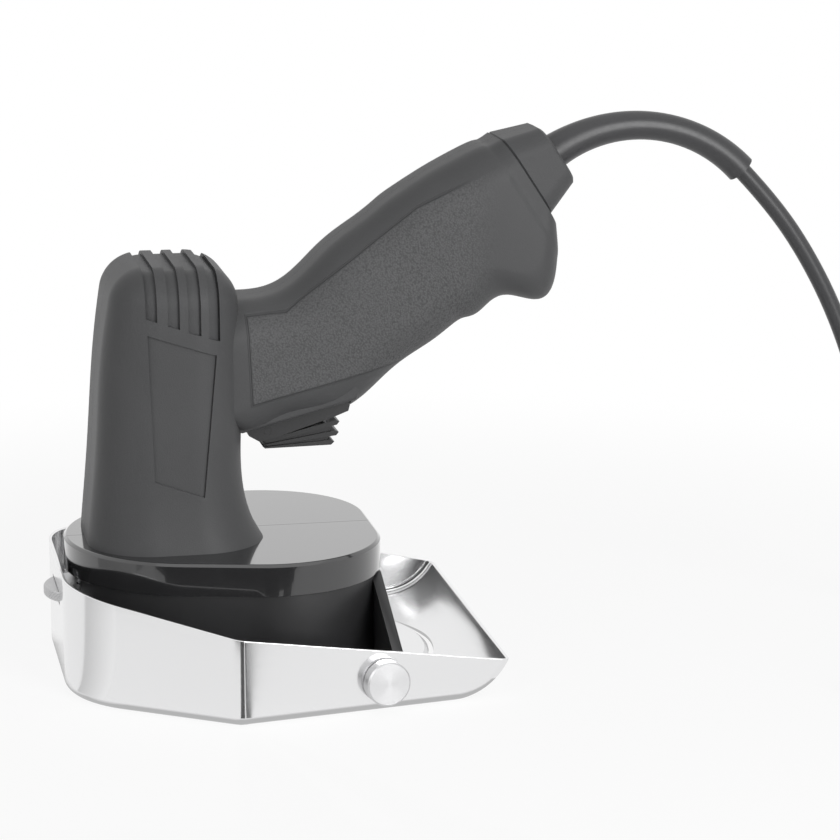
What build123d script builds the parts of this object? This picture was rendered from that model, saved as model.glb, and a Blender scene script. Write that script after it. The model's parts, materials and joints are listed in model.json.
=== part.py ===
"""Electric kebab knife: upright motor column with a rising grip, gear case, round blade and slice tray.

Millimetres, +Z up. The tray stands on Z = 0, +X points to the cord end of the grip and the
parting plane of the housing is Y = 0. The blade and the motor turn about vertical axes.
"""
import math
import os

from build123d import *

os.makedirs("parts", exist_ok=True)

# Fits and rooms
SEAT_GAP = 0.03
RUN_GAP = 0.06
MOVE_GAP = 0.45

# Tray of bent stainless sheet
SHEET = 1.0
TRAY_FRONT_X = -82.0
TRAY_FRONT_HALF = 40.9
TRAY_WIDE_X = -33.6
TRAY_WIDE_HALF = 74.0
TRAY_REAR_X = 54.0
TRAY_REAR_HALF = 59.5
TRAY_FRONT_CORNER_R = 34.0
TRAY_WIDE_CORNER_R = 6.0
TRAY_REAR_ROOM = 6.0
TRAY_BEND_R = 3.0
TRAY_REAR_BEND_R = 21.0
RIM_FRONT_Z = 36.2
RIM_REAR_Z = 11.8
TRAY_TRAVEL = 4.0

# Blade and its spindle
BLADE_X = -12.0
BLADE_R = 51.0
BLADE_GAP = 1.6
BLADE_LOW_Z = 1.0
BLADE_THICK = 1.2
BLADE_DISH = 3.0
SPINDLE_R = 5.0
SPINDLE_TOP_R = 4.0
FLANGE_R = 15.0
FLANGE_THICK = 3.0

# Reduction
MODULE = 1.0
PINION_TEETH = 10
GEAR_TEETH = 56
LIGHT_HOLES = 6
LIGHT_HOLE_RING = 18.0
LIGHT_HOLE_R = 4.2
GEAR_THICK = 6.0

# Gear case
CASE_TOP_Z = 43.4
LID_THICK = 10.3
CASE_LOW_Z = 8.5
CASE_FRONT_X = -35.9
CASE_FRONT_R = 43.2
CASE_REAR_X = -15.1
CASE_REAR_Y = 12.6
CASE_REAR_R = 36.0
CASE_STEP = 0.8
CASE_WALL = 3.0
WING_X = 16.0
WING_THICK = 3.2
WING_TOP_HALF = 26.0
WING_FOOT_Z = 16.6

# Depth wheel and its stud
WHEEL_R = 15.0
WHEEL_THICK = 3.2
WHEEL_Z = 24.3
WHEEL_REACH = 4.0
STUD_R = 4.0

# Side thumb screws
SCREW_X = 12.3
SCREW_Z = 9.9
SCREW_R = 2.0
SCREW_HEAD_R = 7.0
SCREW_HEAD_THICK = 4.6
PAD_THICK = 2.9
NUT_THICK = 3.2

# Motor
MOTOR_R = 17.2
MOTOR_LENGTH = 55.0
MOTOR_WALL = 1.6
SHAFT_R = 2.5
ARMATURE_R = 11.6

# Housing shells
WALL = 2.8
COLUMN_TOP_Z = 132.2
COLUMN_EDGE_R = 12.5
GROOVE_DEPTH = 1.2
GROOVES = [(-54.5, -51.0, 117.4), (-47.7, -44.0, 115.0), (-41.4, -37.4, 112.7), (-34.9, -31.3, 110.5)]
PANEL_DEPTH = 0.8
GRIP_ANGLE = 33.0
GRIP_X = -16.6
GRIP_Z = 99.2
GRIP_END = 103.0
CAP_LENGTH = 13.0

# Trigger
LIP_X = -20.2
LIP_Z = 79.2
LIP_ANGLE = 14.5
LIP_LENGTH = 34.0
LIP_HALF = 18.2
TRIGGER_HALF = 8.6
PIN_R = 1.2

# Cord
CORD_R = 2.9
RELIEF_R = 5.85
RELIEF_BEND_R = 50.0
RELIEF_TURN = 79.0
COIL_GAP = 0.6
COIL_INNER_R = 23.2
COIL_TURNS = 7.5
COIL_SIDES = 8
TIE_THICK = 0.7
TIE_ROOM = 0.35

# Derived positions
MOTOR_X = BLADE_X - MODULE * (PINION_TEETH + GEAR_TEETH) / 2
LID_LOW_Z = CASE_TOP_Z - LID_THICK
WHEEL_X = TRAY_FRONT_X - WHEEL_REACH + WHEEL_R
BLADE_TOP_Z = BLADE_LOW_Z + BLADE_DISH + BLADE_THICK
CHAMBER_Z = 22.0
CHAMBER_R = MODULE * (GEAR_TEETH / 2 + 1) + 0.8
GEAR_Z = CHAMBER_Z + 2.0
BEARING_R = 13.0
TOP_BEARING_R = 11.0
TOP_BEARING_Z = CASE_TOP_Z - 4.3
SIDE_SLOPE = (TRAY_REAR_HALF - TRAY_WIDE_HALF) / (TRAY_REAR_X - TRAY_WIDE_X)
SIDE_TURN = math.degrees(math.atan(SIDE_SLOPE))
SCREW_Y = TRAY_WIDE_HALF + SIDE_SLOPE * (SCREW_X - TRAY_WIDE_X)
PAD_Y = SCREW_Y - SHEET - 0.8
MOTOR_TOP_Z = CASE_TOP_Z + MOTOR_LENGTH

CENTRE_LOW = (Align.CENTER, Align.CENTER, Align.MIN)


def disc(radius, low, high, x=0.0, y=0.0):
    """Upright cylinder between two heights."""
    return Pos(x, y, low) * Cylinder(radius, high - low, align=CENTRE_LOW)


def ring(outer, inner, low, high, x=0.0):
    """Upright tube between two heights."""
    return disc(outer, low, high, x) - disc(inner, low - 1, high + 1, x)


def cross_bar(radius, x, z, y_low, y_high):
    """Cylinder along Y."""
    return Pos(x, y_low, z) * Rot(-90, 0, 0) * Cylinder(radius, y_high - y_low, align=CENTRE_LOW)


def block(x_low, x_high, y_low, y_high, z_low, z_high):
    """Box given by its limits."""
    size = (x_high - x_low, y_high - y_low, z_high - z_low)
    middle = ((x_low + x_high) / 2, (y_low + y_high) / 2, (z_low + z_high) / 2)
    return Pos(*middle) * Box(*size)


def side_prism(points, y_low, y_high):
    """Side outline in XZ carried from one Y to another."""
    face = Plane.XZ * make_face(Polyline(*points, close=True))
    return Pos(0, y_high, 0) * extrude(face, y_high - y_low)


def turned(points, x=0.0):
    """Solid of revolution about an upright axis from (radius, height) points."""
    return Pos(x, 0, 0) * revolve(Plane.XZ * make_face(Polyline(*points, close=True)), Axis.Z)


def hull_plate(circles, low, high):
    """Plate with the outline that a belt round the given circles takes."""
    edges = [edge for x, y, radius in circles for edge in (Pos(x, y) * Circle(radius)).edges()]
    return Pos(0, 0, low) * extrude(make_hull(edges), high - low)


def both_sides(solid):
    """A solid and its mirror image across the parting plane."""
    return solid + mirror(solid, about=Plane.XZ)


def pair(solid):
    """The same two, as separate solids."""
    return Compound(children=[solid.solids()[0], mirror(solid, about=Plane.XZ).solids()[0]])


def along_side(form):
    """A form made square to Y, turned about the thumb screw to stand square to the tray's far side."""
    return Pos(SCREW_X, SCREW_Y, 0) * Rot(0, 0, SIDE_TURN) * Pos(-SCREW_X, -SCREW_Y, 0) * form


# Directions along the grip (s) and across it (h)
GRIP_COS = math.cos(math.radians(GRIP_ANGLE))
GRIP_SIN = math.sin(math.radians(GRIP_ANGLE))
LIP_COS = math.cos(math.radians(LIP_ANGLE))
LIP_SIN = math.sin(math.radians(LIP_ANGLE))


def grip(s, h):
    """Point of the parting plane given along and across the grip."""
    return (GRIP_X + s * GRIP_COS - h * GRIP_SIN, GRIP_Z + s * GRIP_SIN + h * GRIP_COS)


def lip(e, m):
    """Point of the parting plane given along and across the trigger lip."""
    return (LIP_X + e * LIP_COS - m * LIP_SIN, LIP_Z + e * LIP_SIN + m * LIP_COS)


def grip_plane(s):
    """Plane square to the grip, with its x along Y and its y across the grip."""
    x, z = grip(s, 0)
    return Plane(origin=(x, 0, z), x_dir=(0, 1, 0), z_dir=(GRIP_COS, 0, GRIP_SIN))


def grip_rod(radius, s_low, s_high, h=0.0):
    """Cylinder along the grip."""
    x, z = grip(s_low, h)
    plane = Plane(origin=(x, 0, z), x_dir=(0, 1, 0), z_dir=(GRIP_COS, 0, GRIP_SIN))
    return extrude(plane * Circle(radius), s_high - s_low)


def grip_block(s_low, s_high, h_low, h_high, y_low, y_high):
    """Box turned with the grip."""
    corners = [(s_low, h_low), (s_high, h_low), (s_high, h_high), (s_low, h_high)]
    return side_prism([grip(s, h) for s, h in corners], y_low, y_high)


def lip_block(e_low, e_high, m_low, m_high, y_low, y_high):
    """Box turned with the trigger lip."""
    corners = [(e_low, m_low), (e_high, m_low), (e_high, m_high), (e_low, m_high)]
    return side_prism([lip(e, m) for e, m in corners], y_low, y_high)


# Column sections: height above the case, middle X, half length, half width, corner radius
COLUMN = [
    (0.0, -44.6, 28.0, 31.7, 21.0),
    (7.6, -46.2, 25.7, 29.9, 19.0),
    (19.6, -46.9, 23.7, 28.9, 17.0),
    (38.0, -46.2, 22.9, 28.5, 16.6),
    (67.6, -44.9, 21.5, 27.9, 16.0),
    (COLUMN_TOP_Z - CASE_TOP_Z, -43.2, 19.8, 26.6, 15.0),
]

# Grip sections: station along the grip, top, bottom, half width, corner radius
GRIP = [
    (-18.0, 21.0, -14.0, 22.5, 13.0),
    (-6.0, 24.5, -19.5, 22.0, 13.5),
    (7.0, 20.0, -25.5, 21.0, 14.0),
    (18.0, 15.2, -28.6, 20.3, 14.0),
    (31.0, 16.2, -27.0, 20.0, 14.0),
    (47.0, 18.3, -26.6, 19.6, 14.0),
    (62.0, 19.2, -26.4, 19.6, 14.0),
    (73.0, 19.2, -26.9, 19.6, 14.0),
    (80.0, 18.9, -30.4, 19.5, 14.0),
    (86.0, 18.3, -35.7, 19.3, 13.5),
    (91.0, 17.7, -34.8, 19.0, 13.0),
    (97.0, 16.6, -28.6, 18.3, 12.0),
    (GRIP_END, 15.4, -18.0, 17.2, 9.0),
]


def column_solid(inset):
    """The column's outer form, drawn in by a wall."""
    sections = []
    for height, x, half_length, half_width, radius in COLUMN:
        low = CASE_TOP_Z + height
        outline = RectangleRounded(2 * (half_length - inset), 2 * (half_width - inset), radius - inset)
        sections.append(Pos(x, 0, low) * outline)
    sections[-1] = Pos(0, 0, -inset) * sections[-1]
    body = loft(sections)
    rim = body.faces().sort_by(Axis.Z)[-1].edges()
    return fillet(rim, COLUMN_EDGE_R - inset)


def grip_solid(inset):
    """The grip's outer form, drawn in by a wall."""
    sections = []
    for s, top, bottom, half_width, radius in GRIP:
        outline = RectangleRounded(2 * (half_width - inset), top - bottom - 2 * inset, radius - inset)
        end = inset if s == GRIP_END else 0.0
        sections.append(grip_plane(s - end) * (Pos(0, (top + bottom) / 2) * outline))
    return loft(sections)


# Housing: column and grip as one hollow form, parted at Y = 0
BOSS_SPOTS = [(-60.0, 119.0), (-30.0, 116.0), grip(31, 8), grip(84, -25), grip(86, 10)]
COLUMN_BOSS = [(-65.0, 19.6), (-27.9, 19.6)]
BOSS_R = 3.7
BOSS_SCREW_R = 1.5
BOSS_HEAD_R = 2.8
BOSS_HEAD_DEEP = 11.0

column_outer = column_solid(0)
grip_outer = grip_solid(0)
lip_outline = [lip(-4, 0), lip(LIP_LENGTH, 0), lip(LIP_LENGTH + 1.5, 2.5), lip(LIP_LENGTH, 13), lip(-4, 13)]
lip_form = side_prism(lip_outline, -LIP_HALF, LIP_HALF)
lip_form = fillet(lip_form.faces().sort_by(Axis.Z)[0].edges(), 1.0)
below_lip = lip_block(-3.3, LIP_LENGTH - 1, -12, 1.2, -40, 40)
outer = column_outer + (grip_outer - below_lip) + lip_form

hollow = column_solid(WALL) + grip_solid(WALL)
shell = outer - hollow

inner_forms = [cross_bar(BOSS_R, x, z, -40, 40) for x, z in BOSS_SPOTS]
inner_forms += [disc(BOSS_R, CASE_TOP_Z, CASE_TOP_Z + 12, x, y) for x, y in COLUMN_BOSS]
inner_forms += [disc(BOSS_R, CASE_TOP_Z, CASE_TOP_Z + 12, x, -y) for x, y in COLUMN_BOSS]
inner_forms += [lip_block(8, 10.5, 0, 5.6, -19, 19), lip_block(26, 28.5, 0, 5.6, -19, 19)]
inner_forms += [cross_bar(2.2, *grip(s, h), -30, -8.6) for s, h in ((44, -8), (72, 5))]
for form in inner_forms:
    shell = shell + (form & outer)

grooves = []
for x_low, x_high, end in GROOVES:
    outline = [(x_low, end + 0.6), (x_high, end - 0.6), (x_high, 140), (x_low, 140)]
    grooves.append(side_prism(outline, -40, 40))
groove_core = column_solid(GROOVE_DEPTH)
for groove in grooves:
    shell = shell - (groove - groove_core)

panel = side_prism([(-54.1, 112.8), (-32.5, 105.6), (-37.2, 60.9), (-52.8, 66.5)], -40, -10)
shell = shell - (panel - column_solid(PANEL_DEPTH))

# Openings in the shell: trigger stem, spring pocket, cord outlet and screws
shell = shell - lip_block(12.0, 21.0, -3, 6, -4.5, 4.5)
SPRING_X, SPRING_Z = lip(24.0, -6.9)
SPRING_R = 1.9
SPRING_TOP_Z = lip(24.0, 2.0)[1]
shell = shell - disc(SPRING_R + 0.3, SPRING_Z, SPRING_TOP_Z, SPRING_X)
shell = shell - grip_rod(RELIEF_R + SEAT_GAP, 90, GRIP_END + 2)
shell = shell - grip_rod(9.5 + SEAT_GAP, GRIP_END - 1.4, GRIP_END + 1)
for x, z in BOSS_SPOTS:
    shell = shell - cross_bar(BOSS_SCREW_R + SEAT_GAP, x, z, -8, 40)
    shell = shell - cross_bar(BOSS_HEAD_R + 0.15, x, z, BOSS_HEAD_DEEP, 40)
for x, y in COLUMN_BOSS:
    for side in (1, -1):
        shell = shell - disc(BOSS_SCREW_R + SEAT_GAP, CASE_TOP_Z - 1, CASE_TOP_Z + 10, x, side * y)

housing_near = shell & block(-120, 140, -60, 0, 30, 200)
housing_far = shell & block(-120, 140, 0, 60, 30, 200)

housing_screw_list = []
for x, z in BOSS_SPOTS:
    screw = cross_bar(BOSS_SCREW_R, x, z, -7.5, BOSS_HEAD_DEEP)
    screw = screw + cross_bar(BOSS_HEAD_R, x, z, BOSS_HEAD_DEEP, BOSS_HEAD_DEEP + 1.8)
    screw = screw - cross_bar(1.0, x, z, BOSS_HEAD_DEEP + 0.6, BOSS_HEAD_DEEP + 3)
    housing_screw_list.append(screw.solids()[0])
housing_screws = Compound(children=housing_screw_list)

# Rear cap with the cord outlet
cap_sections = [
    grip_plane(GRIP_END) * (Pos(0, 0.7) * RectangleRounded(33.0, 29.2, 7.5)),
    grip_plane(GRIP_END + CAP_LENGTH) * (Pos(0, 0.4) * RectangleRounded(26.0, 20.6, 6.5)),
]
rear_cap = loft(cap_sections)
rear_cap = chamfer(rear_cap.faces().sort_by(Axis.X)[-1].edges(), 0.8)
rear_cap = rear_cap + grip_rod(9.5, GRIP_END - 1.4, GRIP_END + 1)
rear_cap = rear_cap - grip_rod(RELIEF_R + SEAT_GAP, GRIP_END - 5, GRIP_END + CAP_LENGTH + 5)

# Strain relief: straight stem with a collar inside the grip, then a tapering bend
RELIEF_START = GRIP_END + CAP_LENGTH
relief_x, relief_z = grip(RELIEF_START, 0)
bend_x = relief_x + RELIEF_BEND_R * GRIP_SIN
bend_z = relief_z - RELIEF_BEND_R * GRIP_COS


def relief_point(heading):
    """Point of the relief's middle line where it heads at an angle above level."""
    turn = math.radians(heading)
    return (bend_x - RELIEF_BEND_R * math.sin(turn), bend_z + RELIEF_BEND_R * math.cos(turn))


def relief_circle(heading, radius):
    """Circle square to the relief's middle line."""
    x, z = relief_point(heading)
    turn = math.radians(heading)
    across = Plane(origin=(x, 0, z), x_dir=(0, 1, 0), z_dir=(math.cos(turn), 0, math.sin(turn)))
    return across * Circle(radius)


RELIEF_END_ANGLE = GRIP_ANGLE - RELIEF_TURN
relief_sections = []
for share, radius in ((0.0, RELIEF_R), (0.25, 4.95), (0.5, 4.6), (0.75, 4.6), (1.0, 4.8)):
    relief_sections.append(relief_circle(GRIP_ANGLE - RELIEF_TURN * share, radius))
strain_relief = loft(relief_sections) + grip_rod(RELIEF_R, 92, RELIEF_START)
strain_relief = strain_relief + grip_rod(8.6, GRIP_END - WALL - 3.4, GRIP_END - WALL - 0.05)

# Gear case: lid above, body below, with a pocket for the depth wheel in front
case_circles = [
    (CASE_FRONT_X, 0, CASE_FRONT_R),
    (CASE_REAR_X, CASE_REAR_Y, CASE_REAR_R),
    (CASE_REAR_X, -CASE_REAR_Y, CASE_REAR_R),
]


def case_plate(inset, low, high):
    """Plate with the case outline, drawn in."""
    return hull_plate([(x, y, radius - inset) for x, y, radius in case_circles], low, high)


CASE_SCREWS = [(-48.0, 28.0), (8.0, 28.0)]
MOTOR_SCREW_Y = 12.5
LID_FLOOR_Z = CASE_TOP_Z - 5.0
PILOT_R = 6.5

lid = case_plate(0, LID_LOW_Z, CASE_TOP_Z)
lid = chamfer(lid.faces().sort_by(Axis.Z)[-1].edges(), 0.9)
lid_hollow = hull_plate([(MOTOR_X, 0, 17.0), (BLADE_X, 0, CHAMBER_R - 2)], LID_LOW_Z, LID_FLOOR_Z)
lid = lid - (lid_hollow - disc(TOP_BEARING_R + 3.4, LID_LOW_Z, LID_FLOOR_Z, BLADE_X))
lid = lid - disc(TOP_BEARING_R + SEAT_GAP, LID_LOW_Z - 1, TOP_BEARING_Z, BLADE_X)
lid = lid - disc(PILOT_R + SEAT_GAP, LID_LOW_Z, CASE_TOP_Z + 1, MOTOR_X)
lid = lid - disc(STUD_R + SEAT_GAP, LID_LOW_Z - 1, LID_LOW_Z + 6, WHEEL_X)
for side in (1, -1):
    lid = lid - disc(BOSS_SCREW_R + SEAT_GAP, LID_LOW_Z, CASE_TOP_Z + 1, MOTOR_X, side * MOTOR_SCREW_Y)
    for x, y in CASE_SCREWS:
        lid = lid - disc(BOSS_SCREW_R + SEAT_GAP, LID_LOW_Z - 1, CASE_TOP_Z - 3, x, side * y)
    for x, y in COLUMN_BOSS:
        lid = lid - disc(BOSS_SCREW_R + SEAT_GAP, LID_LOW_Z - 1, CASE_TOP_Z + 1, x, side * y)
        lid = lid - disc(BOSS_HEAD_R + 0.2, LID_LOW_Z - 1, LID_LOW_Z + 3.2, x, side * y)

BOSS_OUTER_R = BEARING_R + 4.0
body = case_plate(CASE_STEP, CASE_LOW_Z, LID_LOW_Z)
under = case_plate(CASE_STEP + CASE_WALL, CASE_LOW_Z - 1, CHAMBER_Z - 3)
under = under - disc(BOSS_OUTER_R, CASE_LOW_Z - 2, CHAMBER_Z, BLADE_X)
under = under - disc(STUD_R + 4, CASE_LOW_Z - 2, CHAMBER_Z, WHEEL_X)
body = body - under
body = body - disc(BEARING_R + SEAT_GAP, CASE_LOW_Z - 1, CHAMBER_Z - 3, BLADE_X)
body = body - disc(SPINDLE_R + 3, CASE_LOW_Z, CHAMBER_Z + 1, BLADE_X)
WHEEL_ROOM_R = WHEEL_R + 0.8
body = body - disc(WHEEL_ROOM_R, WHEEL_Z - 0.7, LID_LOW_Z + 1, WHEEL_X)
body = body - disc(STUD_R + SEAT_GAP, WHEEL_Z - 8, LID_LOW_Z + 1, WHEEL_X)

# Rear wings of the body, their feet forked for the thumb screws
WING_HALF = PAD_Y - PAD_THICK
WING_END_Y = PAD_Y + SIDE_SLOPE * (WING_X + WING_THICK - SCREW_X)
WING_LOW_Z = SHEET + TRAY_TRAVEL + 1.6
wing_points = [
    (0, LID_LOW_Z),
    (WING_TOP_HALF, LID_LOW_Z),
    (WING_END_Y, WING_FOOT_Z),
    (WING_END_Y, WING_LOW_Z + 1),
    (0, WING_LOW_Z + 1),
]
wing_face = Plane.YZ * make_face(Polyline(*wing_points, close=True))
wing = Pos(WING_X, 0, 0) * extrude(wing_face, WING_THICK)
pad = block(SCREW_X - 7.5, WING_X + WING_THICK, WING_HALF, PAD_Y, WING_LOW_Z + 1, WING_FOOT_Z + 1)
slot_top = SCREW_Z + TRAY_TRAVEL
slot = block(SCREW_X - SCREW_R - 0.25, SCREW_X + SCREW_R + 0.25, WING_HALF - 5, PAD_Y + 5, 0, slot_top)
slot = slot + cross_bar(SCREW_R + 0.25, SCREW_X, slot_top, WING_HALF - 5, PAD_Y + 5)
body = body + both_sides(wing + along_side(pad) - along_side(slot))
body = body - hull_plate([(MOTOR_X, 0, 7.0), (BLADE_X, 0, CHAMBER_R)], CHAMBER_Z, LID_LOW_Z + 1)
for side in (1, -1):
    for x, y in CASE_SCREWS:
        body = body - disc(BOSS_SCREW_R + SEAT_GAP, CASE_LOW_Z - 1, LID_LOW_Z + 1, x, side * y)
        body = body - disc(BOSS_HEAD_R + 0.5, CASE_LOW_Z - 1, CHAMBER_Z - 3, x, side * y)


def upright_screw(x, y, seat, top, head_high):
    """Pan head screw with its head below the seat."""
    screw = disc(BOSS_SCREW_R, seat, top, x, y) + disc(BOSS_HEAD_R, seat - head_high, seat, x, y)
    return (screw - disc(1.0, seat - head_high - 1, seat - head_high + 1.2, x, y)).solids()[0]


sides = (1, -1)
case_screw_list = []
column_screw_list = []
motor_screw_list = []
for side in sides:
    for x, y in CASE_SCREWS:
        case_screw_list.append(upright_screw(x, side * y, CHAMBER_Z - 3, CASE_TOP_Z - 4, 2.2))
    for x, y in COLUMN_BOSS:
        column_screw_list.append(upright_screw(x, side * y, LID_LOW_Z + 3.2, CASE_TOP_Z + 9, 2.2))
    motor_screw_list.append(upright_screw(MOTOR_X, side * MOTOR_SCREW_Y, LID_FLOOR_Z, CASE_TOP_Z + 1.9, 2.0))
case_screws = Compound(children=case_screw_list)
column_screws = Compound(children=column_screw_list)
motor_screws = Compound(children=motor_screw_list)

# Depth stud and wheel
depth_stud = disc(STUD_R, WHEEL_Z - 8, LID_LOW_Z + 6, WHEEL_X)
depth_stud = chamfer(depth_stud.edges(), 0.4)
depth_wheel = disc(WHEEL_R, WHEEL_Z, WHEEL_Z + WHEEL_THICK, WHEEL_X)
depth_wheel = chamfer(depth_wheel.edges(), 0.35)
depth_wheel = depth_wheel - disc(STUD_R + RUN_GAP, WHEEL_Z - 1, WHEEL_Z + WHEEL_THICK + 1, WHEEL_X)

# Tray
RIM_SLOPE = (RIM_REAR_Z - RIM_FRONT_Z) / (TRAY_REAR_X - TRAY_FRONT_X)


def tray_form(inset):
    """The tray as a filled form, drawn in by the sheet; its plan runs on past the curved rear."""
    rear_x = TRAY_REAR_X + TRAY_REAR_ROOM
    rear_half = TRAY_REAR_HALF + SIDE_SLOPE * TRAY_REAR_ROOM
    corners = [
        (TRAY_FRONT_X, -TRAY_FRONT_HALF),
        (TRAY_WIDE_X, -TRAY_WIDE_HALF),
        (rear_x, -rear_half),
        (rear_x, rear_half),
        (TRAY_WIDE_X, TRAY_WIDE_HALF),
        (TRAY_FRONT_X, TRAY_FRONT_HALF),
    ]
    plan = make_face(Polyline(*corners, close=True))
    points = plan.vertices().sort_by(Axis.X)
    plan = fillet(points[:2], TRAY_FRONT_CORNER_R)
    points = [v for v in plan.vertices() if abs(v.X - TRAY_WIDE_X) < 0.01]
    plan = fillet(points, TRAY_WIDE_CORNER_R)
    if inset:
        plan = offset(plan, -inset, kind=Kind.INTERSECTION)
    bend = TRAY_REAR_BEND_R
    lean = math.acos(1 - RIM_REAR_Z / bend)
    bend_start = TRAY_REAR_X - bend * math.sin(lean)
    inner_bend = bend - inset
    rise = lean + 0.25 if inset else lean
    arc_middle = (bend_start + inner_bend * math.sin(rise / 2), bend - inner_bend * math.cos(rise / 2))
    arc_end = (bend_start + inner_bend * math.sin(rise), bend - inner_bend * math.cos(rise))
    lift = 8.0 if inset else 0.0
    front = (TRAY_FRONT_X - 10, RIM_FRONT_Z - 10 * RIM_SLOPE + lift)
    rear = (arc_end[0], RIM_REAR_Z + RIM_SLOPE * (arc_end[0] - TRAY_REAR_X) + lift)
    low_front = (TRAY_FRONT_X - 10, inset)
    outline = [
        Line(low_front, (bend_start, inset)),
        ThreePointArc((bend_start, inset), arc_middle, arc_end),
        Line(rear, front),
        Line(front, low_front),
    ]
    if inset:
        outline.insert(2, Line(arc_end, rear))
    side = Plane.XZ * make_face(outline)
    form = (Pos(0, 0, inset) * extrude(plan, 60)) & extrude(side, 100, both=True)
    low_edges = [edge for edge in form.edges() if edge.bounding_box().min.Z < inset + 0.01]
    bends = [edge for edge in low_edges if abs(edge.center().Y) > 1 or edge.center().X < 0]
    return fillet(bends, TRAY_BEND_R - inset)


tray = tray_form(0) - tray_form(SHEET)
OPENING_R = BLADE_R + BLADE_GAP
tray = tray - disc(OPENING_R, -1, SHEET + 3, BLADE_X)
slot_half = math.sqrt(WHEEL_R**2 - (WHEEL_R - WHEEL_REACH - SHEET) ** 2) + 0.9
tray = tray - block(
    TRAY_FRONT_X - 2,
    TRAY_FRONT_X + SHEET + 2,
    -slot_half,
    slot_half,
    WHEEL_Z - MOVE_GAP,
    WHEEL_Z + WHEEL_THICK + MOVE_GAP,
)
screw_bore = along_side(cross_bar(SCREW_R + 0.2, SCREW_X, SCREW_Z, SCREW_Y - 10, SCREW_Y + 10))
tray = tray - screw_bore - mirror(screw_bore, about=Plane.XZ)

# Thumb screws and their clamp nuts
HEAD_Y = SCREW_Y + 0.5
side_screw = cross_bar(SCREW_HEAD_R, SCREW_X, SCREW_Z, HEAD_Y, HEAD_Y + SCREW_HEAD_THICK)
side_screw = chamfer(side_screw.edges(), 0.5)
side_screw = side_screw + cross_bar(SCREW_R, SCREW_X, SCREW_Z, WING_HALF - NUT_THICK - 1.2, HEAD_Y + 1)
side_screw_far = along_side(side_screw)
side_screw_near = mirror(side_screw_far, about=Plane.XZ)
nut_high = WING_HALF - 0.12
clamp_nut = block(SCREW_X - 3.2, SCREW_X + 3.2, nut_high - NUT_THICK, nut_high, SCREW_Z - 3.2, SCREW_Z + 3.2)
clamp_nut = clamp_nut - cross_bar(SCREW_R + RUN_GAP, SCREW_X, SCREW_Z, 0, 100)
clamp_nuts = pair(along_side(clamp_nut))


# Drive
def spur_gear(teeth, low, high, x, bore, phase, share):
    """Straight cut gear with plain flanks; share is the tooth's part of the pitch."""
    pitch_r = MODULE * teeth / 2
    outer_r = pitch_r + 0.9 * MODULE
    root_r = pitch_r - 1.2 * MODULE
    step = 2 * math.pi / teeth
    points = []
    for index in range(teeth):
        middle = phase + index * step
        for radius, half in ((root_r, 0.5 * share + 0.14), (outer_r, 0.5 * share - 0.12)):
            points.append((radius, middle - half * step))
        for radius, half in ((outer_r, 0.5 * share - 0.12), (root_r, 0.5 * share + 0.14)):
            points.append((radius, middle + half * step))
    flat = [(r * math.cos(a), r * math.sin(a)) for r, a in points]
    gear = Pos(x, 0, low) * extrude(make_face(Polyline(*flat, close=True)), high - low)
    return gear - disc(bore, low - 1, high + 1, x)


GEAR_HIGH = GEAR_Z + GEAR_THICK
SPINDLE_STEP_Z = LID_LOW_Z - 0.1
half_tooth = math.pi / GEAR_TEETH
drive_gear = spur_gear(GEAR_TEETH, GEAR_Z, GEAR_HIGH, BLADE_X, SPINDLE_R + SEAT_GAP, half_tooth, 0.42)
drive_gear = drive_gear + ring(9.0, SPINDLE_R + SEAT_GAP, GEAR_Z - 1.4, GEAR_HIGH + 1.6, BLADE_X)
for index in range(LIGHT_HOLES):
    turn = 2 * math.pi * index / LIGHT_HOLES
    hole_x = BLADE_X + LIGHT_HOLE_RING * math.cos(turn)
    hole_y = LIGHT_HOLE_RING * math.sin(turn)
    drive_gear = drive_gear - disc(LIGHT_HOLE_R, GEAR_Z - 1, GEAR_HIGH + 1, hole_x, hole_y)
pinion = spur_gear(PINION_TEETH, GEAR_Z - 0.5, GEAR_HIGH + 1, MOTOR_X, SHAFT_R + SEAT_GAP, 0, 0.42)

spindle = turned(
    [
        (0, BLADE_LOW_Z + 0.5),
        (3.0, BLADE_LOW_Z + 0.5),
        (3.0, BLADE_TOP_Z),
        (FLANGE_R, BLADE_TOP_Z),
        (FLANGE_R, BLADE_TOP_Z + FLANGE_THICK - 0.6),
        (SPINDLE_R, BLADE_TOP_Z + FLANGE_THICK),
        (SPINDLE_R, SPINDLE_STEP_Z),
        (SPINDLE_TOP_R, SPINDLE_STEP_Z),
        (SPINDLE_TOP_R, TOP_BEARING_Z - 0.2),
        (0, TOP_BEARING_Z - 0.2),
    ],
    BLADE_X,
)
SEAL_HIGH = 11.2
spindle_bearing_low = ring(BEARING_R, SPINDLE_R + RUN_GAP, SEAL_HIGH, CHAMBER_Z - 3, BLADE_X)
top_bore_r = SPINDLE_TOP_R + RUN_GAP
spindle_bearing_top = ring(TOP_BEARING_R, top_bore_r, SPINDLE_STEP_Z + 0.2, TOP_BEARING_Z, BLADE_X)
spindle_seal = ring(BEARING_R, SPINDLE_R + 0.09, CASE_LOW_Z + 0.4, SEAL_HIGH, BLADE_X)

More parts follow.
